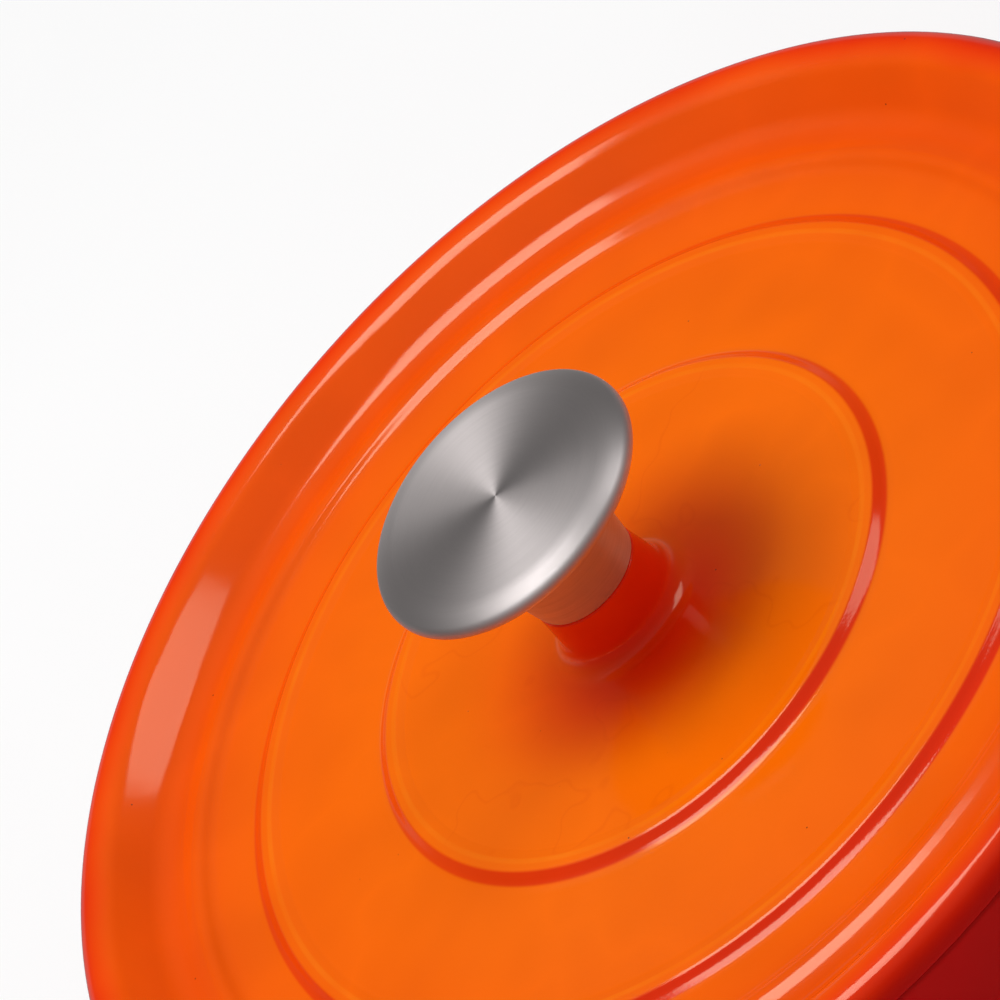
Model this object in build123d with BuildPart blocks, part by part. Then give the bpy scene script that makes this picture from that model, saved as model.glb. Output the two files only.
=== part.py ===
"""Round enamelled cast iron Dutch oven, 24 cm, with a lift-off lid and a steel knob.

Frame: origin at the centre of the pot's flat base, +Z up, the two handles on the X axis.
All sizes are millimetres. Every round piece is one outline of (radius, height, rounding)
corners turned about Z.
"""
import os

from build123d import *

# ---- driving dimensions: pot ------------------------------------------------------------
POT_HEIGHT = 115.0          # base to the flat rim that carries the lid
MOUTH_RADIUS = 121.5        # a nominal 24 cm oven
RIM_RADIUS = 128.0          # outside of the pot at its rim
BASE_RADIUS = 121.5         # outside wall carried down to the base, before the corner
BASE_CORNER = 27.0          # outside radius between base and wall
WALL = 3.6                  # cast wall
FLOOR = 4.4                 # cast floor
LIP_DEPTH = 5.0             # straight part of the mouth, which centres the lid
LIP_BLEND = 5.0             # height of the slope from the lip down to the thinner wall
LIP_TOP_ROUND = 4.0         # rounding where the lip meets that slope
LIP_FOOT_ROUND = 6.0        # rounding where the slope meets the wall
MEETING_EDGE = 1.2          # rounding of both castings where the lid meets the pot

HANDLE_HEIGHT = 97.0        # middle of the handle bars above the base
HANDLE_THICK = 11.0
HANDLE_REACH = 33.0         # how far a handle stands out from the pot's wall
HANDLE_ROOT_HALF = 56.0     # half the width of a handle where it leaves the wall
HANDLE_TIP_HALF = 37.0      # half the width across its outer corners
HANDLE_BAR = 13.0           # width of the bar around the finger gap
HANDLE_ROOT_DEPTH = 16.0    # how far the handle's outline runs into the wall
HANDLE_CORNER = 32.0        # outer corner of the loop
HANDLE_EDGE = 4.8           # rounding of the bar
HANDLE_BLEND = 3.0          # fillet between the handle and the wall
HANDLE_MARGIN = 1.0         # the finger gap's cutter runs this far past the handle's root

# ---- driving dimensions: lid ------------------------------------------------------------
# Depths are below the top of the lid's rounded rim, at the top face of the casting.
LID_RADIUS = 128.6
LID_RIM = 6.5               # height of the lid's rim above the pot's rim
LID_WALL = 3.6
CENTRE_DEPTH = 2.3          # middle plateau
INNER_RING_RADIUS = 55.2    # top edge of the inner step
INNER_RING_DEPTH = 2.8
OUTER_RING_RADIUS = 87.8    # top edge of the outer step
OUTER_RING_DEPTH = 6.6
STEP_RUN = 2.4              # each step falls this far outwards
STEP_DROP = 1.8             # and this far down
STEP_EDGE = 1.1             # rounding of a step's top edge
STEP_FOOT = 2.3             # rounding of a step's foot
BEAD_FOOT_RADIUS = 98.9     # where the ledge turns up into the bead
BEAD_FOOT_DEPTH = 7.6
BEAD_FOOT_ROUND = 16.0
BEAD_RADIUS = 103.3         # low bead before the trough
BEAD_DEPTH = 6.2
BEAD_ROUND = 3.0
TROUGH_RADIUS = 109.2
TROUGH_DEPTH = 9.2
TROUGH_ROUND = 4.0
CREST_INNER = 120.6         # where the trough's outer wall meets the rim's rounded top
CREST_ROUND = 6.5
RIM_ROUND = 5.0             # outer rounding of the rim
LOCATING_RADIUS = 120.4     # ring under the lid that drops into the mouth
LOCATING_DEPTH = 6.4
LOCATING_WIDTH = 8.0
LOCATING_ROUND = 1.5
LOCATING_ROOT_ROUND = 0.5
UNDER_TROUGH_ROUND = 2.0
UNDER_BEAD_RISE = 0.6       # the underside rises this much from the trough to the bead
BOSS_HEIGHT = 9.7           # seat of the knob above the lid's rim
BOSS_RADIUS = 11.3
BOSS_FOOT_RADIUS = 12.6
BOSS_FILLET = 4.6
BOSS_EDGE = 0.5             # rounding of the edge that the knob stands on
UNDERSIDE_ROUND = 12.0      # soft bends under the two steps
PAD_RADIUS = 13.0           # flat pad under the lid for the washers
SCREW_HOLE_RADIUS = 3.5

# ---- driving dimensions: knob and its fixings -------------------------------------------
KNOB_RADIUS = 28.5
KNOB_HEIGHT = 26.1          # seat to the top of the face
DISC_HEIGHT = 4.2           # thickness of the knob's disc
FACE_DISH = 0.3             # the face is this much lower at its centre
CROWN_RADIUS = 25.2         # where the flat face starts to fall to the rolled edge
CROWN_ROUND = 8.0
CROWN_DROP = 1.7            # fall from the face to the top of the rolled edge
ROLL_TOP = 2.0              # upper rounding of the rolled edge
ROLL_UNDER = 1.2            # lower rounding of the rolled edge
NECK_FOOT_RADIUS = 11.2
NECK_TOP_RADIUS = 14.8
NECK_WALL = 1.8
NECK_BEND = 0.6             # bends inside the neck
SHEET = 1.2                 # steel sheet of the cap
FLANGE_RADIUS = 20.0        # neck's flange, held inside the cap
SMALL_EDGE = 0.3            # broken edge of turned and sheet steel
CLEARANCE = 0.05            # radial gap between turned pieces that slide together

SCREW_RADIUS = 3.0          # M6 x 30
SCREW_LENGTH = 30.0
SCREW_HEAD_RADIUS = 6.0
SCREW_HEAD_HEIGHT = 3.6
SCREW_HEAD_ROUND = 2.4
SCREW_TIP_ROUND = 0.6
SLOT_WIDTH = 1.6
SLOT_DEPTH = 1.8
WASHER_RADIUS = 9.0
WASHER_THICK = 1.6
WASHER_PLAY = 0.2           # radial gap between the screw and its washers
LOCK_WASHER_RADIUS = 5.6
LOCK_WASHER_GAP = 1.2
INSERT_RADIUS = 6.5
INSERT_HEIGHT = 12.0

# ---- heights above the base that follow from them ---------------------------------------
RIM_TOP = POT_HEIGHT + LID_RIM
UNDERSIDE = RIM_TOP - CENTRE_DEPTH - LID_WALL   # the washers' pad
SEAT = RIM_TOP + BOSS_HEIGHT            # where the knob stands on the boss
KNOB_TOP = SEAT + KNOB_HEIGHT
DISC_BOTTOM = KNOB_TOP - DISC_HEIGHT
WASHER_BOTTOM = UNDERSIDE - WASHER_THICK
HEAD_TOP = WASHER_BOTTOM - WASHER_THICK


def outline(corners, plane=Plane.XZ):
    """A filled, closed outline of (x, y, rounding) corners on a plane."""
    with BuildSketch(plane, mode=Mode.PRIVATE) as section:
        with BuildLine():
            Polyline(*[(x, y) for x, y, _ in corners], close=True)
        make_face()
        for x, y, rounding in corners:
            if rounding > 0:
                fillet(section.vertices().sort_by_distance((x, y))[0], rounding)
    return section.sketch


def save(part, name):
    """Name a finished piece and write it as its own STEP file."""
    part.label = name
    export_step(part, f"parts/{name}.step")
    print(f"{name}: {part.volume / 1000:.1f} cm3")


os.makedirs("parts", exist_ok=True)

# ---- pot: one casting with its two loop handles -----------------------------------------
wall_slope = (RIM_RADIUS - BASE_RADIUS) / POT_HEIGHT
handle_wall = BASE_RADIUS + wall_slope * HANDLE_HEIGHT      # wall radius at the handles
handle_root = handle_wall - HANDLE_ROOT_DEPTH
handle_tip = handle_wall + HANDLE_REACH
gap_tip = handle_tip - HANDLE_BAR

pot_outside = [
    (0, 0, 0),
    (BASE_RADIUS, 0, BASE_CORNER),
    (RIM_RADIUS, POT_HEIGHT, MEETING_EDGE),
    (0, POT_HEIGHT, 0),
]
pot_inside = [
    (0, FLOOR, 0),
    (BASE_RADIUS - WALL, FLOOR, BASE_CORNER - WALL),
    (RIM_RADIUS - WALL, POT_HEIGHT - LIP_DEPTH - LIP_BLEND, LIP_FOOT_ROUND),
    (MOUTH_RADIUS, POT_HEIGHT - LIP_DEPTH, LIP_TOP_ROUND),
    (MOUTH_RADIUS, POT_HEIGHT, 0),
    (0, POT_HEIGHT, 0),
]

handle_plane = Plane.XY.offset(HANDLE_HEIGHT)
handle_outside = outline(
    [
        (handle_root, -HANDLE_ROOT_HALF, 0),
        (handle_tip, -HANDLE_TIP_HALF, HANDLE_CORNER),
        (handle_tip, HANDLE_TIP_HALF, HANDLE_CORNER),
        (handle_root, HANDLE_ROOT_HALF, 0),
    ],
    handle_plane,
)
finger_gap = outline(
    [
        (handle_root - HANDLE_MARGIN, HANDLE_BAR - HANDLE_ROOT_HALF, 0),
        (gap_tip, HANDLE_BAR - HANDLE_TIP_HALF, HANDLE_CORNER - HANDLE_BAR),
        (gap_tip, HANDLE_TIP_HALF - HANDLE_BAR, HANDLE_CORNER - HANDLE_BAR),
        (handle_root - HANDLE_MARGIN, HANDLE_ROOT_HALF - HANDLE_BAR, 0),
    ],
    handle_plane,
)

with BuildPart() as handle:
    with BuildSketch(handle_plane):
        add(handle_outside)
        add(finger_gap, mode=Mode.SUBTRACT)
    extrude(amount=HANDLE_THICK / 2, both=True)
    bar_edges = handle.edges().filter_by(
        lambda edge: edge.center().X > handle_root + HANDLE_MARGIN
    )
    fillet(bar_edges.filter_by(Axis.Z, reverse=True), HANDLE_EDGE)

with BuildPart() as pot:
    revolve(outline(pot_outside), axis=Axis.Z)
    add(handle.part)
    mirror(handle.part, about=Plane.YZ)
    roots = pot.edges().filter_by(
        lambda edge: handle_root + HANDLE_MARGIN < abs(edge.center().X) < handle_wall - HANDLE_MARGIN
        and abs(edge.center().Z - HANDLE_HEIGHT) < HANDLE_THICK
    )
    fillet(roots, HANDLE_BLEND)
    revolve(outline(pot_inside), axis=Axis.Z, mode=Mode.SUBTRACT)
save(pot.part, "pot")

# ---- lid: one casting with the boss that carries the knob -------------------------------
def step(radius, depth):
    """The top edge and the foot of one of the lid's two steps."""
    edge = (radius, RIM_TOP - depth, STEP_EDGE)
    foot = (radius + STEP_RUN, RIM_TOP - depth - STEP_DROP, STEP_FOOT)
    return [edge, foot]


def under_step(depth):
    """Height of the underside below a step of this depth."""
    return RIM_TOP - depth - STEP_DROP - LID_WALL


lid_top = [
    (0, SEAT, 0),
    (BOSS_RADIUS, SEAT, BOSS_EDGE),
    (BOSS_FOOT_RADIUS, RIM_TOP - CENTRE_DEPTH, BOSS_FILLET),
    *step(INNER_RING_RADIUS, INNER_RING_DEPTH),
    *step(OUTER_RING_RADIUS, OUTER_RING_DEPTH),
    (BEAD_FOOT_RADIUS, RIM_TOP - BEAD_FOOT_DEPTH, BEAD_FOOT_ROUND),
    (BEAD_RADIUS, RIM_TOP - BEAD_DEPTH, BEAD_ROUND),
    (TROUGH_RADIUS, RIM_TOP - TROUGH_DEPTH, TROUGH_ROUND),
    (CREST_INNER, RIM_TOP, CREST_ROUND),
    (LID_RADIUS, RIM_TOP, RIM_ROUND),
]
under_trough = RIM_TOP - TROUGH_DEPTH - LID_WALL
lid_underside = [
    (LID_RADIUS, POT_HEIGHT, MEETING_EDGE),
    (LOCATING_RADIUS, POT_HEIGHT, LOCATING_ROOT_ROUND),
    (LOCATING_RADIUS, POT_HEIGHT - LOCATING_DEPTH, LOCATING_ROUND),
    (LOCATING_RADIUS - LOCATING_WIDTH, POT_HEIGHT - LOCATING_DEPTH, LOCATING_ROUND),
    (TROUGH_RADIUS, under_trough, UNDER_TROUGH_ROUND),
    (BEAD_RADIUS, under_trough + UNDER_BEAD_RISE, UNDER_TROUGH_ROUND),
    (OUTER_RING_RADIUS, under_step(OUTER_RING_DEPTH), UNDERSIDE_ROUND),
    (INNER_RING_RADIUS, under_step(INNER_RING_DEPTH), UNDERSIDE_ROUND),
    (PAD_RADIUS, UNDERSIDE, UNDER_TROUGH_ROUND),
    (0, UNDERSIDE, 0),
]
with BuildPart() as lid:
    revolve(outline(lid_top + lid_underside), axis=Axis.Z)
    with Locations((0, 0, SEAT)):
        Hole(SCREW_HOLE_RADIUS)
save(lid.part, "lid")

# ---- knob: neck with its flange inside a rolled sheet cap -------------------------------
flange_bottom = DISC_BOTTOM + SHEET
neck_outside = [
    (0, SEAT, 0),
    (NECK_FOOT_RADIUS, SEAT, SMALL_EDGE),
    (NECK_TOP_RADIUS, DISC_BOTTOM, 0),
    (NECK_TOP_RADIUS, flange_bottom, 0),
    (FLANGE_RADIUS, flange_bottom, SMALL_EDGE),
    (FLANGE_RADIUS, flange_bottom + SHEET, SMALL_EDGE),
    (0, flange_bottom + SHEET, 0),
]
neck_inside = [
    (0, SEAT + NECK_WALL, 0),
    (NECK_FOOT_RADIUS - NECK_WALL, SEAT + NECK_WALL, NECK_BEND),
    (NECK_TOP_RADIUS - NECK_WALL, DISC_BOTTOM, NECK_BEND),
    (NECK_TOP_RADIUS - NECK_WALL, flange_bottom + SHEET, 0),
    (0, flange_bottom + SHEET, 0),
]
with BuildPart() as knob_neck:
    revolve(outline(neck_outside), axis=Axis.Z)
    revolve(outline(neck_inside), axis=Axis.Z, mode=Mode.SUBTRACT)
    with Locations((0, 0, SEAT + NECK_WALL)):
        Hole(SCREW_HOLE_RADIUS)
save(knob_neck.part, "knob_neck")

cap_outside = [
    (0, DISC_BOTTOM, 0),
    (KNOB_RADIUS, DISC_BOTTOM, ROLL_UNDER),
    (KNOB_RADIUS, KNOB_TOP - CROWN_DROP, ROLL_TOP),
    (CROWN_RADIUS, KNOB_TOP, CROWN_ROUND),
    (0, KNOB_TOP - FACE_DISH, 0),
]
cap_inside = [
    (0, flange_bottom, 0),
    (KNOB_RADIUS - SHEET, flange_bottom, SMALL_EDGE),
    (KNOB_RADIUS - SHEET, KNOB_TOP - CROWN_DROP - SHEET / 2, SMALL_EDGE),
    (CROWN_RADIUS, KNOB_TOP - SHEET, 0),
    (0, KNOB_TOP - FACE_DISH - SHEET, 0),
]
with BuildPart() as knob_cap:
    revolve(outline(cap_outside), axis=Axis.Z)
    revolve(outline(cap_inside), axis=Axis.Z, mode=Mode.SUBTRACT)
    with Locations((0, 0, DISC_BOTTOM)):
        Cylinder(
            NECK_TOP_RADIUS + CLEARANCE,
            SHEET,
            align=(Align.CENTER, Align.CENTER, Align.MIN),
            mode=Mode.SUBTRACT,
        )
save(knob_cap.part, "knob_cap")

with BuildPart() as knob_insert:
    with BuildSketch(Plane.XY.offset(SEAT + NECK_WALL)):
        RegularPolygon(INSERT_RADIUS, 6)
        Circle(SCREW_RADIUS + CLEARANCE, mode=Mode.SUBTRACT)
    extrude(amount=INSERT_HEIGHT)
save(knob_insert.part, "knob_insert")

# ---- screw and washers, put in from under the lid ---------------------------------------
with BuildPart() as washer:
    with BuildSketch(Plane.XY.offset(WASHER_BOTTOM)):
        Circle(WASHER_RADIUS)
        Circle(SCREW_RADIUS + WASHER_PLAY, mode=Mode.SUBTRACT)
    extrude(amount=WASHER_THICK)
save(washer.part, "flat_washer")

with BuildPart() as lock_washer:
    with BuildSketch(Plane.XY.offset(HEAD_TOP)):
        Circle(LOCK_WASHER_RADIUS)
        Circle(SCREW_RADIUS + WASHER_PLAY, mode=Mode.SUBTRACT)
        with Locations((LOCK_WASHER_RADIUS, 0)):
            Rectangle(LOCK_WASHER_RADIUS * 2, LOCK_WASHER_GAP, mode=Mode.SUBTRACT)
    extrude(amount=WASHER_THICK)
save(lock_washer.part, "lock_washer")

head_bottom = HEAD_TOP - SCREW_HEAD_HEIGHT
screw_outline = [
    (0, head_bottom, 0),
    (SCREW_HEAD_RADIUS, head_bottom, SCREW_HEAD_ROUND),
    (SCREW_HEAD_RADIUS, HEAD_TOP, 0),
    (SCREW_RADIUS, HEAD_TOP, 0),
    (SCREW_RADIUS, HEAD_TOP + SCREW_LENGTH, SCREW_TIP_ROUND),
    (0, HEAD_TOP + SCREW_LENGTH, 0),
]
with BuildPart() as screw:
    revolve(outline(screw_outline), axis=Axis.Z)
    with BuildSketch(Plane.XY.offset(head_bottom)):
        Rectangle(SCREW_HEAD_RADIUS * 2, SLOT_WIDTH)
    extrude(amount=SLOT_DEPTH, mode=Mode.SUBTRACT)
save(screw.part, "knob_screw")
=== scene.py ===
# %% [markdown]
# # A round enamelled cast iron oven
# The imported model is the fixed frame: it says where every piece sits and how the lid lifts.
# Here the two castings and the steel knob are remade as fine meshes around it, and every
# surface gets its finish. Lengths are metres, and `mm` turns millimetres into them.

# %% Load the frame
import math

import bmesh
import bpy
from mathutils import Matrix, Vector


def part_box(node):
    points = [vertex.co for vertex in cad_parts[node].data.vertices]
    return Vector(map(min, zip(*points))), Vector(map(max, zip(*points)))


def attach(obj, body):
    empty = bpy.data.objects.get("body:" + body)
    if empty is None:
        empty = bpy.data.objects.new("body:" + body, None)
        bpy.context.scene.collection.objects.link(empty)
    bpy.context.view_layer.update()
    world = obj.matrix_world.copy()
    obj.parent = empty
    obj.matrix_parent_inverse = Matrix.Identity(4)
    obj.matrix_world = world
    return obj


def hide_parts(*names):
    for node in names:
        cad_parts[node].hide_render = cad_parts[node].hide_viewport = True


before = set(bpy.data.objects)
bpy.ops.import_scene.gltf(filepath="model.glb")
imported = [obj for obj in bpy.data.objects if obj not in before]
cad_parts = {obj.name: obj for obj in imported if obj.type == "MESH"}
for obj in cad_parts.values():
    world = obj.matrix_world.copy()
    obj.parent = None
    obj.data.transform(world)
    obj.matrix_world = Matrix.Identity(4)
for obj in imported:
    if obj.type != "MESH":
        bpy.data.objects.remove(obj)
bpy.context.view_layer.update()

mm = 0.001
rim_above_pot = 6.5 * mm

pot_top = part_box("pot")[1].z
lid_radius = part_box("lid")[1].x
knob_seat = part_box("lid")[1].z
rim_top = pot_top + rim_above_pot
print("pot height", round(pot_top, 4), "lid radius", round(lid_radius, 4))

# %% [markdown]
# ## The camera
# It looks down on the near side of the lid from 36 degrees, through a long lens, so circles
# stay close to true ellipses. It is turned about its own line of sight, which leans the oven
# to the left. Camera axes are built from the look direction with cross products, because a
# chain of Euler angles would hide which turn does what.

# %% Camera
aim_below_rim = 1.6 * mm
elevation = math.radians(36.41)
distance = 1.452
aim_up = math.radians(1.15)
lean = math.radians(-48.43)
lens = 288.0
nearest_seen = 0.05

look_height = rim_top - aim_below_rim
eye = Vector((0, -math.cos(elevation), math.sin(elevation))) * distance
eye.z += look_height
forward = (Vector((0, 0, look_height)) - eye).normalized()
right = Vector((1, 0, 0))
up = right.cross(forward)
forward = (forward + math.tan(aim_up) * up).normalized()
up = right.cross(forward)
turned_right = right * math.cos(lean) + up * math.sin(lean)
turned_up = up * math.cos(lean) - right * math.sin(lean)

camera_data = bpy.data.cameras.new("studio_camera")
camera_data.lens = lens
camera_data.clip_start = nearest_seen
camera = bpy.data.objects.new("studio_camera", camera_data)
bpy.context.scene.collection.objects.link(camera)
camera.matrix_world = Matrix.Translation(eye) @ Matrix(
    (turned_right, turned_up, -forward)
).transposed().to_4x4()
bpy.context.scene.camera = camera
print("camera stands at", [round(value, 3) for value in eye])

# %% [markdown]
# ## Writing node trees as sums
# A `Wire` is one output socket. Adding or multiplying wires adds Math nodes, so a mask reads
# like the formula that it is. `Sheet.node` adds any other node: its settings first, then the
# values or wires of its sockets.

# %% Wires and sheets
class Wire:
    def __init__(self, sheet, socket):
        self.sheet = sheet
        self.socket = socket

    def maths(self, operation, *others):
        values = dict(enumerate((self, *others)))
        return self.sheet.node("ShaderNodeMath", {"operation": operation}, values)

    def __add__(self, other):
        return self.maths("ADD", other)

    def __mul__(self, other):
        return self.maths("MULTIPLY", other)

    def __sub__(self, other):
        return self.maths("SUBTRACT", other)

    def __truediv__(self, other):
        return self.maths("DIVIDE", other)

    def __rsub__(self, other):
        return self * -1.0 + other

    def rise(self, low, high):
        """0 below low, 1 above high, and a smooth slope between them."""
        values = {"Value": self, "From Min": low, "From Max": high}
        return self.sheet.node(
            "ShaderNodeMapRange", {"interpolation_type": "SMOOTHSTEP"}, values
        )

    def band(self, low, high, soft):
        """1 between low and high, fading to 0 over a width of soft at each side."""
        return self.rise(low - soft, low) * (1 - self.rise(high, high + soft))


class Sheet:
    def __init__(self, tree):
        self.tree = tree

    def feed(self, socket, value):
        if isinstance(value, Wire):
            self.tree.links.new(value.socket, socket)
        else:
            socket.default_value = value

    def node(self, kind, settings=None, values=None, out=0):
        made = self.tree.nodes.new(kind)
        for name, value in (settings or {}).items():
            setattr(made, name, value)
        for name, value in (values or {}).items():
            self.feed(made.inputs[name], value)
        return Wire(self, made.outputs[out])

    def mix(self, factor, first, second):
        settings = {"data_type": "RGBA", "blend_type": "MIX", "clamp_factor": True}
        return self.node("ShaderNodeMix", settings, {0: factor, 6: first, 7: second}, 2)

    def ramp(self, factor, length, stops):
        """A colour ramp along a length, from (distance, colour) stops."""
        wire = self.node("ShaderNodeValToRGB", None, {"Fac": factor / length})
        elements = wire.socket.node.color_ramp.elements
        while len(elements) < len(stops):
            elements.new(1.0)
        for element, (distance, colour) in zip(elements, stops):
            element.position = distance / length
            element.color = colour
        return wire


def shade(red, green, blue):
    """A screen colour, 0 to 255, as the linear colour that a shader takes."""
    def linear(value):
        value /= 255
        return value / 12.92 if value <= 0.04045 else ((value + 0.055) / 1.055) ** 2.4
    return (linear(red), linear(green), linear(blue), 1.0)


print("the lid's orange in linear light:", [round(part, 3) for part in shade(252, 112, 0)])

# %% [markdown]
# ## One tree that turns every round piece
# Both castings and both knob shells are turned shapes: one outline carried round the axis.
# Geometry Nodes do it as a rule. A grid has one row for each point of the outline and one
# column for each step round the circle, and each grid point is moved to its outline point's
# radius and height at its column's angle. Merging by distance closes the seam and the poles.
# The outline also carries `skin`, which says which enamel covers it there.

# %% The turning tree
weld_distance = 0.001 * mm


def turning_tree():
    tree = bpy.data.node_groups.new("turned_piece", "GeometryNodeTree")
    face = tree.interface
    face.new_socket("Geometry", in_out="INPUT", socket_type="NodeSocketGeometry")
    face.new_socket("Steps Around", in_out="INPUT", socket_type="NodeSocketInt")
    face.new_socket("Material", in_out="INPUT", socket_type="NodeSocketMaterial")
    face.new_socket("Geometry", in_out="OUTPUT", socket_type="NodeSocketGeometry")
    sheet = Sheet(tree)
    entry = tree.nodes.new("NodeGroupInput")
    outline = Wire(sheet, entry.outputs["Geometry"])
    steps = Wire(sheet, entry.outputs["Steps Around"])
    material = Wire(sheet, entry.outputs["Material"])

    points = sheet.node("GeometryNodeAttributeDomainSize", {"component": "MESH"}, {0: outline})
    grid = sheet.node(
        "GeometryNodeMeshGrid", None, {"Vertices X": steps + 1, "Vertices Y": points}
    )
    index = sheet.node("GeometryNodeInputIndex")
    row = index.maths("MODULO", points)
    column = (index / points).maths("FLOOR")
    angle = column / steps * math.tau

    def from_outline(kind, value):
        settings = {"data_type": kind, "domain": "POINT"}
        values = {"Geometry": outline, "Value": value, "Index": row}
        return sheet.node("GeometryNodeSampleIndex", settings, values)

    place = from_outline("FLOAT_VECTOR", sheet.node("GeometryNodeInputPosition"))
    skin_name = {"data_type": "FLOAT"}
    skin = from_outline(
        "FLOAT", sheet.node("GeometryNodeInputNamedAttribute", skin_name, {"Name": "skin"})
    )
    radius = sheet.node("ShaderNodeSeparateXYZ", None, {0: place})
    height = Wire(sheet, radius.socket.node.outputs["Z"])
    position = sheet.node(
        "ShaderNodeCombineXYZ",
        None,
        {"X": radius * angle.maths("COSINE"), "Y": radius * angle.maths("SINE"), "Z": height},
    )
    moved = sheet.node(
        "GeometryNodeSetPosition", None, {"Geometry": grid, "Position": position}
    )
    marked = sheet.node(
        "GeometryNodeStoreNamedAttribute",
        {"data_type": "FLOAT", "domain": "POINT"},
        {"Geometry": moved, "Name": "skin", "Value": skin},
    )
    closed = sheet.node(
        "GeometryNodeMergeByDistance", None, {"Geometry": marked, "Distance": weld_distance}
    )
    smooth = sheet.node("GeometryNodeSetShadeSmooth", None, {"Geometry": closed})
    real = sheet.node("GeometryNodeRealizeInstances", None, {"Geometry": smooth})
    finished = sheet.node(
        "GeometryNodeSetMaterial", None, {"Geometry": real, "Material": material}
    )
    leave = tree.nodes.new("NodeGroupOutput")
    tree.links.new(finished.socket, leave.inputs[0])
    return tree


turning = turning_tree()
print("turning tree:", len(turning.nodes), "nodes")

# %% [markdown]
# ## Outlines
# An outline is a list of corners, each with a radius, a height, a rounding and the skin that
# follows it. Rounded corners become short arcs. A long straight run also gets a point close
# to each of its ends, so that smooth shading stays flat along the run and bends only in the
# arc, as light does on the real casting.

# %% Rounded corners
arc_step = math.radians(7)
fewest_arc_steps = 3
guard = 0.5                 # how close a straight run's support points are to its ends, mm
spare_step = 6.0            # longest stretch without a point, mm


def rounded(corners, closed):
    """Outline points (radius, height, skin) from (radius, height, rounding, skin) corners."""
    points = []
    count = len(corners)
    for i, (x, z, rounding, skin) in enumerate(corners):
        here = Vector((x, z))
        inner = closed or 0 < i < count - 1
        if not (inner and rounding):
            points.append((here, skin))
            continue
        back = (Vector(corners[i - 1][:2]) - here).normalized()
        ahead = (Vector(corners[(i + 1) % count][:2]) - here).normalized()
        half = back.angle(ahead) / 2
        middle = here + (back + ahead).normalized() * (rounding / math.sin(half))
        tangent = rounding / math.tan(half)
        start = here + back * tangent - middle
        turn = -start.angle_signed(here + ahead * tangent - middle)
        steps = max(fewest_arc_steps, math.ceil(abs(turn) / arc_step))
        for k in range(steps + 1):
            spoke = Matrix.Rotation(turn * k / steps, 2) @ start
            points.append((middle + spoke, skin))
    return points


def supported(points, closed):
    """Adds the support points of each long straight run."""
    result = []
    count = len(points)
    for i, (here, skin) in enumerate(points):
        result.append((here, skin))
        if i == count - 1 and not closed:
            break
        there = points[(i + 1) % count][0]
        run = there - here
        if run.length > 4 * guard:
            shares = [guard / run.length, 1 - guard / run.length]
            spare = int(run.length / spare_step)
            shares += [k / (spare + 1) for k in range(1, spare + 1)]
            result += [(here + run * share, skin) for share in sorted(shares)]
    return result


square = [(0, 0, 0, 0), (10, 0, 2.0, 0), (10, 10, 2.0, 0), (0, 10, 0, 0)]
print("a square with two round corners:", len(rounded(square, False)), "points")

# %% Turning
steps_around = 256


def turned(name, corners, material, closed=False):
    """A solid turned from an outline that starts and ends on the axis, or is closed."""
    points = supported(rounded(corners, closed), closed)
    if closed:
        points.append(points[0])
    places = [(x * mm, 0, z * mm) for (x, z), _ in points]
    outline = bpy.data.meshes.new(name)
    outline.from_pydata(places, [(i, i + 1) for i in range(len(points) - 1)], [])
    skin = outline.attributes.new("skin", "FLOAT", "POINT")
    skin.data.foreach_set("value", [float(s) for _, s in points])
    piece = bpy.data.objects.new(name, outline)
    bpy.context.scene.collection.objects.link(piece)
    modifier = piece.modifiers.new("turning", "NODES")
    modifier.node_group = turning
    sockets = {item.name: item.identifier for item in turning.interface.items_tree}
    modifier[sockets["Steps Around"]] = steps_around
    modifier[sockets["Material"]] = material
    bpy.context.view_layer.update()
    seen = piece.evaluated_get(bpy.context.evaluated_depsgraph_get())
    mesh = bpy.data.meshes.new_from_object(seen)
    piece.modifiers.clear()
    piece.data = mesh
    mesh.name = name
    face_outwards(mesh)
    print(name, len(mesh.polygons), "faces")
    return piece


def face_outwards(mesh):
    """Turns every face of a closed mesh outwards."""
    work = bmesh.new()
    work.from_mesh(mesh)
    bmesh.ops.recalc_face_normals(work, faces=work.faces)
    if work.calc_volume(signed=True) < 0:
        bmesh.ops.reverse_faces(work, faces=work.faces)
    work.to_mesh(mesh)
    work.free()

# %% [markdown]
# ## Enamel
# Vitreous enamel is coloured glass fused to the iron. Its colour is deep where it pools and
# thin on raised edges, its gloss is slightly rippled, and it always has a few tiny pits. One
# function adds those to any colour: swells, ripples and orange peel go into a bump, pits
# darken the colour, and a slow noise varies the roughness. The gloss is tinted a little
# yellow, which keeps the highlights warm.

# %% Noise, spots and bumps
def object_place(sheet, scale=1000.0):
    """Object coordinates in millimetres, as a vector wire."""
    place = sheet.node("ShaderNodeTexCoord")
    place.socket = place.socket.node.outputs["Object"]
    settings = {"operation": "SCALE"}
    return sheet.node("ShaderNodeVectorMath", settings, {0: place, "Scale": scale})


def split(sheet, vector):
    x = sheet.node("ShaderNodeSeparateXYZ", None, {0: vector})
    outputs = x.socket.node.outputs
    return x, Wire(sheet, outputs["Y"]), Wire(sheet, outputs["Z"])


def noise(sheet, vector, size, detail=2.0, roughness=0.5):
    """Noise between 0 and 1 whose lumps are about size millimetres across."""
    values = {"Vector": vector, "Scale": 1 / size, "Detail": detail, "Roughness": roughness}
    return sheet.node("ShaderNodeTexNoise", None, values)


def spots(sheet, vector, spacing, size):
    """Sparse round spots: spacing between cells and size of a spot, in millimetres."""
    settings = {"feature": "F1", "voronoi_dimensions": "3D"}
    values = {"Vector": vector, "Scale": 1 / spacing}
    distance = sheet.node("ShaderNodeTexVoronoi", settings, values)
    return 1 - (distance * spacing).rise(size * 0.5, size)


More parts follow.
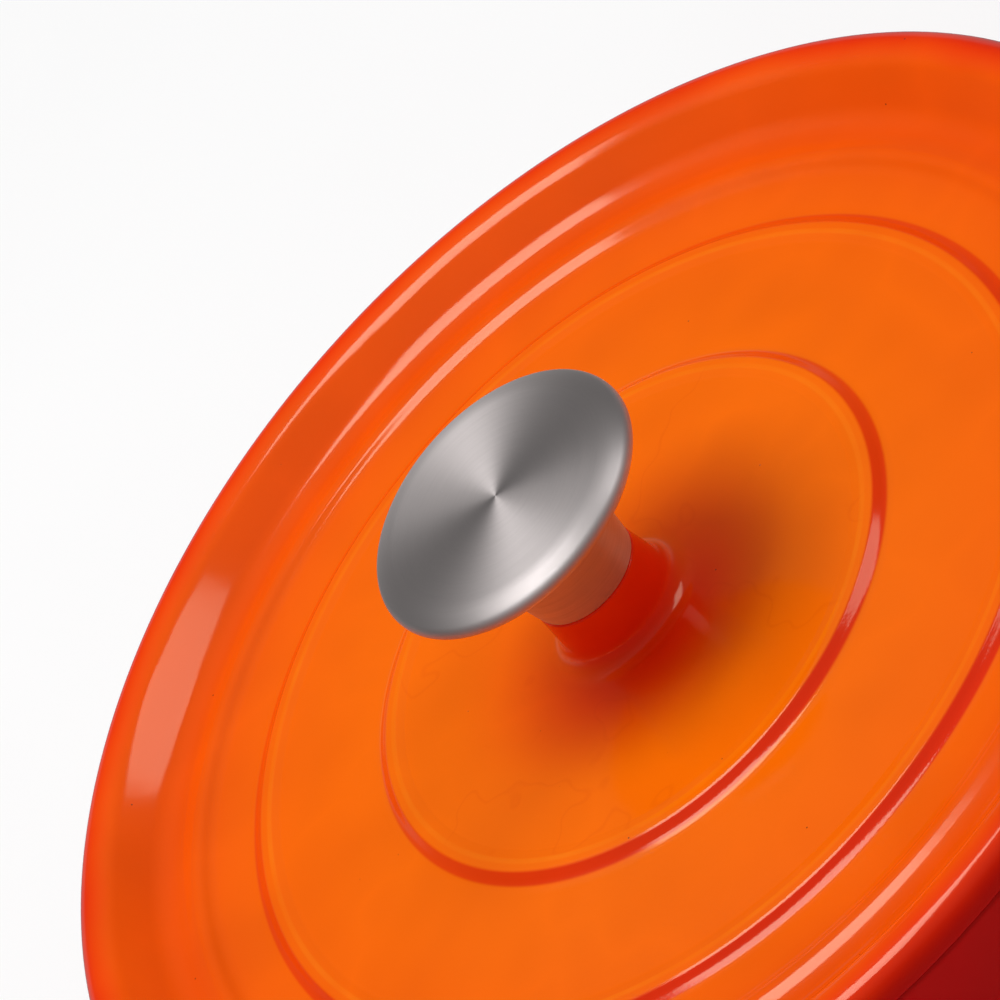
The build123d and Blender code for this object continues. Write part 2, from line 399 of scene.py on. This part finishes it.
def bump(sheet, height):
    """A normal from a height wire in millimetres."""
    values = {"Height": height, "Distance": mm, "Strength": 1.0}
    return sheet.node("ShaderNodeBump", None, values)


def new_material(name):
    material = bpy.data.materials.new(name)
    material.use_nodes = True
    sheet = Sheet(material.node_tree)
    surface = material.node_tree.nodes["Principled BSDF"]
    print("finish:", name)
    return material, sheet, surface


# %% Shared enamel surface
pit_spacing, pit_size, pit_depth = 9.0, 0.22, 0.05
peel_size, peel_depth = 2.6, 0.010
ripple_size, ripple_depth = 14.0, 0.09
swell_size, swell_depth = 34.0, 0.4
mottle_size, mottle_strength = 38.0, 0.5
haze_size, least_rough, rough_range = 22.0, 0.08, 0.06
overfired = shade(150, 30, 0)
pit_brown = shade(60, 14, 4)
glass_bending = 1.52
warm_gloss = (1.0, 0.88, 0.66, 1.0)


def glaze(sheet, surface, vector, colour, relief=None):
    """Finishes a colour as enamel: pits, ripples and slightly uneven gloss."""
    pits = spots(sheet, vector, pit_spacing, pit_size)
    slow = noise(sheet, vector, mottle_size)
    uneven = (slow - 0.5).maths("ABSOLUTE") * mottle_strength
    mottled = sheet.mix(uneven, colour, overfired)
    pitted = sheet.mix(pits * 0.75, mottled, pit_brown)
    peel = noise(sheet, vector, peel_size) * peel_depth
    ripple = noise(sheet, vector, ripple_size, 1.0) * ripple_depth
    swell = noise(sheet, vector, swell_size, 1.0) * swell_depth
    height = peel + ripple + swell - pits * pit_depth
    if relief is not None:
        height = height + relief
    rough = noise(sheet, vector, haze_size) * rough_range + least_rough
    sheet.feed(surface.inputs["Base Color"], pitted)
    sheet.feed(surface.inputs["Roughness"], rough)
    sheet.feed(surface.inputs["Normal"], bump(sheet, height))
    surface.inputs["IOR"].default_value = glass_bending
    surface.inputs["Specular Tint"].default_value = warm_gloss


# %% [markdown]
# ## Inside and bare iron
# The inside of the pot and the underside of the lid are cream. The rings where they meet are
# left without glaze, dark and a little grainy. The outline's `skin` number says which is
# where, so no boundary has to be measured twice.

# %% Cream and bare iron
coloured, bare, creamy = 0, 1, 2
cream, deep_cream = shade(233, 222, 198), shade(222, 206, 176)
bare_iron, worn_iron = shade(52, 46, 44), shade(84, 74, 70)


def dress_underside(sheet, vector, colour):
    """The colour where skin is coloured, iron where it is bare and cream where it is creamy."""
    skin = sheet.node("ShaderNodeAttribute", {"attribute_name": "skin"})
    skin.socket = skin.socket.node.outputs["Fac"]
    ground = sheet.mix(noise(sheet, vector, 1.5, 4.0), bare_iron, worn_iron)
    warm = sheet.mix(noise(sheet, vector, 30.0), cream, deep_cream)
    with_iron = sheet.mix(skin.rise(bare - 0.55, bare - 0.45), colour, ground)
    return sheet.mix(skin.rise(creamy - 0.55, creamy - 0.45), with_iron, warm)


# %% [markdown]
# ## The lid's enamel
# The maker sprays orange in the middle and lets red build up towards the rim, then fires both
# together, so the change is gradual. On the steps the glaze runs thin and the red ground
# shows; on the -Y side that red is made stronger as painted shade. A paler line inside each
# step's edge is a painted highlight. Round the boss it is redder, partly the glaze and partly
# painted shade under the knob, with a painted shadow of the knob strongest on the -Y side.
# Nearly all of that depends only on the distance from the axis, so a ramp and bands on that
# distance give it, with noise to soften them. Faint seams show where the glaze flowed together.

# %% Lid material
lid_colours = [             # distance from the axis, mm, and colour
    (0.0, shade(252, 112, 0)),
    (52.0, shade(252, 110, 0)),
    (84.0, shade(250, 103, 0)),
    (97.0, shade(248, 96, 0)),
    (109.0, shade(242, 82, 0)),
    (120.0, shade(246, 86, 0)),
    (125.5, shade(240, 50, 0)),
    (129.0, shade(212, 12, 0)),
]
colours_end = 130.0
upper_lip, lower_lip = (52.9, 53.5, 0.5), (85.4, 86.0, 0.5)
upper_wall, lower_wall = (55.6, 57.2, 0.7), (88.2, 90.2, 0.7)
thin_red_and_shade = shade(230, 36, 0)
glint_yellow = shade(255, 140, 20)
tint_and_shadow_red = shade(232, 30, 0)
boss_red = shade(250, 36, 0)
seam_red = shade(214, 50, 0)
side_red = shade(190, 4, 2)


def lid_enamel():
    material, sheet, surface = new_material("lid_enamel")
    place = object_place(sheet)
    x, y, z = split(sheet, place)
    radius = (x * x + y * y).maths("SQRT")
    towards_back = y / radius.maths("MAXIMUM", 1.0)
    height = z - rim_top / mm

    wander = (noise(sheet, place, 26.0, 3.0) - 0.5) * 5.0
    colour = sheet.ramp(radius + wander, colours_end, lid_colours)

    # A paler yellow line inside each step's edge: a painted highlight, the glint of the swollen
    # glaze.
    edge_glint = radius.band(*upper_lip) + radius.band(*lower_lip)
    colour = sheet.mix(edge_glint * noise(sheet, place, 9.0) * 0.4, colour, glint_yellow)
    # Thin glaze shows the red ground on the step walls; the extra red on the -Y side is painted
    # shade.
    walls = radius.band(*upper_wall) + radius.band(*lower_wall)
    colour = sheet.mix(walls * (0.65 - towards_back * 0.3), colour, thin_red_and_shade)

    # Redder round the boss: partly the glaze's own redness, partly painted shade and shadow
    # under the knob, strongest on the -Y side.
    run = (1 - radius.rise(16.0, 40.0)) * (0.5 - towards_back * 0.45)
    colour = sheet.mix(run, colour, tint_and_shadow_red)
    boss = (1 - radius.rise(13.0, 18.5)) * height.rise(-2.2, 1.5)
    colour = sheet.mix(boss * 0.9, colour, boss_red)

    flow = noise(sheet, place, 46.0, 3.0, 0.6)
    seams = 1 - (flow - 0.5).maths("ABSOLUTE").rise(0.0, 0.008)
    colour = sheet.mix(seams * radius.band(18.0, 50.0, 6.0) * 0.10, colour, seam_red)

    side = 1 - height.rise(-5.5, -1.5)
    colour = sheet.mix(side * radius.rise(124.5, 127.0), colour, side_red)
    colour = dress_underside(sheet, place, colour)
    grain = noise(sheet, place, 0.6, 1.0) * walls * 0.012
    glaze(sheet, surface, place, colour, relief=grain)
    return material


lid_finish = lid_enamel()

# %% [markdown]
# ## The pot's enamel
# The outside is a deep crimson that gets lighter towards the rim, and the inside is cream. The
# same `skin` number marks the bare rim between them.

# %% Pot material
pot_height = pot_top / mm
pot_colours = [             # height above the base, mm, and colour
    (0.0, shade(124, 2, 8)),
    (0.35 * pot_height, shade(150, 3, 9)),
    (0.8 * pot_height, shade(176, 4, 10)),
    (pot_height, shade(192, 5, 8)),
]


def pot_enamel():
    material, sheet, surface = new_material("pot_enamel")
    place = object_place(sheet)
    height = split(sheet, place)[2] + (noise(sheet, place, 30.0) - 0.5) * 10.0
    colour = sheet.ramp(height, pot_height, pot_colours)
    glaze(sheet, surface, place, dress_underside(sheet, place, colour))
    return material


pot_finish = pot_enamel()

# %% [markdown]
# ## Brushed steel
# The knob's face is polished on a spindle with a fine belt, which leaves circular scratches.
# They spread light across themselves, so a lamp shows as bright and dark wedges round the
# centre. The anisotropy of the surface shader gives the wedges. Its direction runs round the
# object's upright axis and stretches the highlight that way, so a quarter turn makes it
# stretch outwards instead. A bump of streaks that are long round the axis and short across it
# gives the scratches themselves, and a few nicks show where it was knocked.

# %% Steel materials
scratch_width, band_width = 0.10, 0.9
nick_spacing, nick_size, nick_depth = 7.0, 0.16, 0.01
tarnish = shade(184, 177, 174)
fresh_nick = shade(240, 240, 240)
quarter_turn = 0.25


def steel(name, colour, roughness, anisotropy, streak_depth):
    material, sheet, surface = new_material(name)
    place = object_place(sheet)
    x, y, z = split(sheet, place)
    radius = (x * x + y * y).maths("SQRT").maths("MAXIMUM", 0.05)
    values = {"X": radius + z * 1.7, "Y": x / radius * 0.9, "Z": y / radius * 0.9}
    round_axis = sheet.node("ShaderNodeCombineXYZ", None, values)
    fine = noise(sheet, round_axis, scratch_width)
    coarse = noise(sheet, round_axis, band_width)
    nicks = spots(sheet, place, nick_spacing, nick_size)
    dull = noise(sheet, place, 6.0, 3.0)
    tone = sheet.mix(coarse * 0.35 + dull * 0.2, colour, tarnish)
    tone = sheet.mix(nicks * 0.6, tone, fresh_nick)
    rough = (coarse - 0.5) * 0.10 + roughness + (dull - 0.5) * 0.05
    height = fine * streak_depth + coarse * streak_depth - nicks * nick_depth
    sheet.feed(surface.inputs["Base Color"], tone)
    sheet.feed(surface.inputs["Roughness"], rough)
    sheet.feed(surface.inputs["Normal"], bump(sheet, height))
    surface.inputs["Metallic"].default_value = 1.0
    surface.inputs["Anisotropic"].default_value = anisotropy
    surface.inputs["Anisotropic Rotation"].default_value = quarter_turn
    return material


knob_finish = steel("knob_steel", shade(238, 230, 229), 0.52, 0.66, 0.0040)
fixing_finish = steel("fixing_steel", shade(190, 188, 186), 0.34, 0.3, 0.002)

# %% [markdown]
# ## The lid
# The outline follows the casting from the knob's seat down the waisted boss, over the two
# steps and the low bead, through the trough and over the rounded rim, then back underneath
# along the bare ring and the cream inside to the screw's pad and hole.

# %% Lid outline and piece
rim = rim_top / mm
seat = knob_seat / mm
edge = lid_radius / mm
joint = pot_height          # where lid and pot meet
lid_wall = 3.6
hole = 3.5
upper_step, upper_drop = 55.2, 2.8
lower_step, lower_drop = 87.8, 6.6
boss_foot = 2.3             # how far the flat centre lies below the rim
ring_outside, ring_inside, ring_drop = 120.4, 112.4, 6.4


def step(radius, drop, swell):
    """One step of the lid: the glaze swells a little before the edge, then falls to the foot."""
    return [
        (radius - 4.4, rim - drop - swell, 3.0, coloured),
        (radius - 2.3, rim - drop + 0.15, 2.5, coloured),
        (radius, rim - drop, 1.8, coloured),
        (radius + 2.4, rim - drop - 1.8, 5.0, coloured),
    ]


lid_outline = [
    (hole, seat, 0.3, coloured),
    (11.3, seat, 0.5, coloured),
    (12.6, rim - boss_foot, 4.6, coloured),
    *step(upper_step, upper_drop, 0.15),
    *step(lower_step, lower_drop, 0.30),
    (100.4, rim - 7.9, 5.0, coloured),
    (103.2, rim - 6.2, 3.5, coloured),
    (110.4, rim - 8.5, 8.0, coloured),
    (120.6, rim, 6.5, coloured),
    (edge, rim, 5.0, coloured),
    (edge, joint, 1.2, coloured),
    (edge - 2.4, joint, 0, bare),
    (ring_outside, joint, 0.5, bare),
    (ring_outside, joint - ring_drop, 1.5, bare),
    (ring_inside, joint - ring_drop, 1.5, creamy),
    (109.2, rim - 9.2 - lid_wall, 2.0, creamy),
    (103.3, rim - 8.6 - lid_wall, 3.0, creamy),
    (lower_step, rim - 8.4 - lid_wall, 12.0, creamy),
    (upper_step, rim - 4.6 - lid_wall, 12.0, creamy),
    (13.0, rim - boss_foot - lid_wall, 2.0, creamy),
    (hole, rim - boss_foot - lid_wall, 0.3, creamy),
]
lid = turned("lid_casting", lid_outline, lid_finish, closed=True)
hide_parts("lid")
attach(lid, "lid_body")

# %% [markdown]
# ## The pot
# The body is turned from its own outline. Each handle is a bar of rounded section carried along
# a loop: straight arms out of the wall, two corners and the grip. Where an arm meets the wall,
# its rings follow the wall's curve and swell like the fillet that a foundry leaves there.

# %% Pot body
base_radius, rim_radius = 121.5, 128.0
base_thickness = 4.4
pot_outline = [
    (0, 0, 0, coloured),
    (base_radius, 0, 27.0, coloured),
    (rim_radius, joint, 1.2, coloured),
    (126.6, joint, 0, bare),
    (122.6, joint, 0, bare),
    (121.5, joint, 0.8, creamy),
    (121.5, joint - 5.0, 4.0, creamy),
    (124.4, joint - 10.0, 6.0, creamy),
    (117.9, base_thickness, 23.4, creamy),
    (0, base_thickness, 0, creamy),
]
pot = turned("pot_casting", pot_outline, pot_finish)

# %% Handle sections and path
grip_height = 97.0
grip_half_width = 6.4
grip_half_depth = 5.5
grip_sides = 40
squareness = 2.8            # 2 would be an ellipse
loop_corners = [(108.0, -50.6), (153.5, -31.0), (153.5, 31.0), (108.0, 50.6)]
loop_round = 24.0
flare = 8.0                 # radius of the fillet at the wall
root_rings_count = 14
crowding = 1.6              # brings the rings of the fillet closer together at the wall
buried = 1.6                # how far an arm goes into the wall


def wall_radius(height):
    """Outside radius of the pot at a height, in millimetres."""
    return base_radius + (rim_radius - base_radius) * height / joint


def grip_ring():
    """Unit outline of the grip: between an ellipse and a rectangle."""
    ring = []
    for i in range(grip_sides):
        angle = math.tau * i / grip_sides
        c, s = math.cos(angle), math.sin(angle)
        ring.append((
            math.copysign(abs(c) ** (2 / squareness), c) * grip_half_width,
            math.copysign(abs(s) ** (2 / squareness), s) * grip_half_depth,
        ))
    return ring


def at_wall(start, direction, clear):
    """Slides a point along a direction to the wall, then back out by clear."""
    radius = wall_radius(start.z)
    a = direction.x ** 2 + direction.y ** 2
    b = 2 * (start.x * direction.x + start.y * direction.y)
    c = start.x ** 2 + start.y ** 2 - radius ** 2
    travel = (-b - math.sqrt(b * b - 4 * a * c)) / (2 * a)
    return start + direction * (travel - clear)


def root_rings(outer, inner, side):
    """Rings of an arm from inside the wall out to the end of its fillet."""
    direction = (inner - outer).normalized()
    across = direction.cross(Vector((0, 0, 1))) * side
    rings = []
    for k in range(-1, root_rings_count + 1):
        clear = flare * (k / root_rings_count) ** crowding if k >= 0 else -buried
        spread = flare * (1 - math.sqrt(max(0, 1 - (1 - max(clear, 0) / flare) ** 2)))
        ring = []
        for a, b in grip_ring():
            grow = 1 + spread / math.hypot(a, b)
            start = outer + across * a * grow + Vector((0, 0, b * grow))
            ring.append(at_wall(start, direction, clear))
        rings.append(ring)
    return rings


def loop_rings():
    """Rings of a whole handle, from one root along the loop to the other."""
    path = rounded([(x, y, loop_round, coloured) for x, y in loop_corners], False)
    path = [Vector((p.x, p.y, grip_height)) for p, _ in path]
    rings = root_rings(path[1], path[0], 1)
    for i in range(1, len(path) - 1):
        along = (path[i + 1] - path[i]).normalized() + (path[i] - path[i - 1]).normalized()
        across = -along.normalized().cross(Vector((0, 0, 1)))
        rings.append([path[i] + across * a + Vector((0, 0, b)) for a, b in grip_ring()])
    return rings + root_rings(path[-2], path[-1], -1)[::-1]


print("rings of a handle:", len(loop_rings()))

# %% Handles
def add_handle(work, side):
    """Lofts one handle into an open bmesh, on the +X side or the -X side."""
    rings = [[work.verts.new(Vector((p.x * side, p.y, p.z)) * mm) for p in ring]
             for ring in loop_rings()]
    for first, second in zip(rings, rings[1:]):
        for i in range(len(first)):
            work.faces.new((first[i - 1], first[i], second[i], second[i - 1]))
    work.faces.new(rings[0])
    work.faces.new(rings[-1])


handles = bmesh.new()
add_handle(handles, 1)
add_handle(handles, -1)
for face in handles.faces:
    face.smooth = len(face.verts) == 4
bmesh.ops.recalc_face_normals(handles, faces=handles.faces)
handle_mesh = bpy.data.meshes.new("handles")
handles.to_mesh(handle_mesh)
handles.free()
print("handles:", len(handle_mesh.polygons), "faces")

# %% [markdown]
# Pot and handles are one casting, so they become one mesh. Joining leaves the handles without
# a finish, so the whole casting is then given the pot's.

# %% Joining
casting = bmesh.new()
casting.from_mesh(pot.data)
casting.from_mesh(handle_mesh)
casting.to_mesh(pot.data)
casting.free()
pot.data.materials.clear()
pot.data.materials.append(pot_finish)
pot.data.polygons.foreach_set("material_index", [0] * len(pot.data.polygons))
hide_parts("pot")
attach(pot, "pot_body")
print("pot with handles:", len(pot.data.polygons), "faces")

# %% [markdown]
# ## The knob
# The cap is a sheet of steel rolled over at its edge. Its face is very slightly dished. The neck
# is a cone that stands on the boss, and its flange is caught inside the cap, which leaves a
# crisp line under the disc. Every point of these outlines has the same skin, because their
# finish doesn't use it.

# %% Knob cap
disc_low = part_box("knob_cap")[0].z / mm
disc_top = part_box("knob_cap")[1].z / mm
knob_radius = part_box("knob_cap")[1].x / mm
sheet_steel = 1.2
dish = 0.3
crown = 25.2                # radius where the face is highest

cap_outline = [
    (0, disc_top - dish, 0, 0),
    (crown, disc_top, 8.0, 0),
    (knob_radius, disc_top - 1.7, 2.0, 0),
    (knob_radius, disc_low, 1.2, 0),
    (14.9, disc_low, 0.15, 0),
    (14.9, disc_low + sheet_steel, 0.15, 0),
    (knob_radius - sheet_steel, disc_low + sheet_steel, 0.3, 0),
    (knob_radius - sheet_steel, disc_top - 2.3, 0.3, 0),
    (crown, disc_top - sheet_steel, 1.0, 0),
    (0, disc_top - dish - sheet_steel, 0, 0),
]
cap = turned("knob_cap_steel", cap_outline, knob_finish)
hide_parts("knob_cap")
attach(cap, "lid_body")

# %% Knob neck
neck_top = 14.8
neck_inside = 13.0
flange_radius = 20.0
foot_thickness = 1.8

neck_outline = [
    (hole, seat, 0.2, 0),
    (11.2, seat, 0.5, 0),
    (neck_top, disc_low, 0, 0),
    (neck_top, disc_low + sheet_steel, 0, 0),
    (flange_radius, disc_low + sheet_steel, 0.3, 0),
    (flange_radius, disc_low + 2 * sheet_steel, 0.3, 0),
    (neck_inside, disc_low + 2 * sheet_steel, 0.2, 0),
    (neck_inside, disc_low, 0.6, 0),
    (9.4, seat + foot_thickness, 0.6, 0),
    (hole, seat + foot_thickness, 0.2, 0),
]
neck = turned("knob_neck_steel", neck_outline, knob_finish, closed=True)
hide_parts("knob_neck")
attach(neck, "lid_body")

# %% [markdown]
# ## Screw, washers and insert
# These stay as the frame made them, because flat turned steel needs no more shape. They only
# get their finish.

# %% Fixings
for name in ("knob_screw", "flat_washer", "lock_washer", "knob_insert"):
    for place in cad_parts[name].material_slots:
        place.material = fixing_finish
    print(name, "has the fixing finish")

# %% [markdown]
# ## Studio
# A pale floor and three soft boxes stand round the oven. The key box, high at the back left,
# only lights. The box on the right is also mirrored, in the trough. The top box is only
# mirrored, by the slopes that lean towards the front. The sky is white to the camera and dim
# to everything else, so the glaze reflects the boxes and not a white room.

# %% Floor
floor_reach = 6.0
white_paper, pale_fibre = (0.99, 0.99, 0.99, 1), (0.96, 0.96, 0.96, 1)

corners = [(-1, -1), (1, -1), (1, 1), (-1, 1)]
places = [(x * floor_reach, y * floor_reach, 0) for x, y in corners]
floor_mesh = bpy.data.meshes.new("floor")
floor_mesh.from_pydata(places, [], [(0, 1, 2, 3)])
floor = bpy.data.objects.new("floor", floor_mesh)
bpy.context.scene.collection.objects.link(floor)
floor_material, floor_sheet, floor_surface = new_material("floor_paper")
fibre = noise(floor_sheet, object_place(floor_sheet), 120.0, 3.0)
paper = floor_sheet.mix(fibre, white_paper, pale_fibre)
floor_sheet.feed(floor_surface.inputs["Base Color"], paper)
floor_sheet.feed(floor_surface.inputs["Roughness"], fibre * 0.1 + 0.85)
floor_mesh.materials.append(floor_material)
floor.visible_glossy = False

# %% Sky
ambient = 0.40              # what lights the oven from everywhere
gloom = 0.06                # what the glaze mirrors between the boxes
ceiling_glow, back_wall_glow = 0.16, 0.2

world = bpy.data.worlds.new("studio")
bpy.context.scene.world = world
world.use_nodes = True
world.cycles.sampling_method = "NONE"
sky = Sheet(world.node_tree)
seen = sky.node("ShaderNodeLightPath", out="Is Camera Ray")
mirrored = Wire(sky, seen.socket.node.outputs["Is Glossy Ray"])
x, y, z = split(sky, sky.node("ShaderNodeTexCoord", out="Generated"))
ceiling = z.rise(0.5, 0.95) * ceiling_glow
back_wall = y.rise(0.25, 0.7) * (1 - z.rise(0.05, 0.25)) * back_wall_glow
reflected = back_wall + ceiling + gloom
strength = seen * (1 - ambient) + mirrored * (reflected - ambient) + ambient
backdrop = world.node_tree.nodes["Background"]
backdrop.inputs["Color"].default_value = (1, 1, 1, 1)
sky.feed(backdrop.inputs["Strength"], strength)
print("sky:", len(world.node_tree.nodes), "nodes")

# %% Lamps
watts_for_white = 4         # per square metre, for a face as bright as white paper


def soft_box(name, azimuth, height_angle, away, width, tall, glow, gloss=True, light=True):
    """An area lamp aimed at the lid, whose face is glow times as bright as white paper."""
    lamp = bpy.data.lights.new(name, "AREA")
    lamp.shape = "RECTANGLE"
    lamp.size = width
    lamp.size_y = tall
    lamp.energy = glow * width * tall * watts_for_white
    box = bpy.data.objects.new(name, lamp)
    bpy.context.scene.collection.objects.link(box)
    a, e = math.radians(azimuth), math.radians(height_angle)
    aim = Vector((math.cos(a) * math.cos(e), math.sin(a) * math.cos(e), math.sin(e)))
    box.location = aim * away + Vector((0, 0, rim_top))
    box.rotation_euler = aim.to_track_quat("Z", "Y").to_euler()
    box.visible_glossy = gloss
    box.visible_diffuse = light
    print(name, "stands at", [round(value, 2) for value in box.location])


soft_box("key_box", azimuth=130, height_angle=68, away=1.5,
         width=1.0, tall=1.0, glow=3.8, gloss=False)
soft_box("right_box", azimuth=0, height_angle=52, away=1.3,
         width=0.50, tall=0.50, glow=2.3)
soft_box("top_box", azimuth=150, height_angle=79, away=1.4,
         width=0.70, tall=0.62, glow=4.6, light=False)

bpy.context.scene.view_settings.view_transform = "Standard"
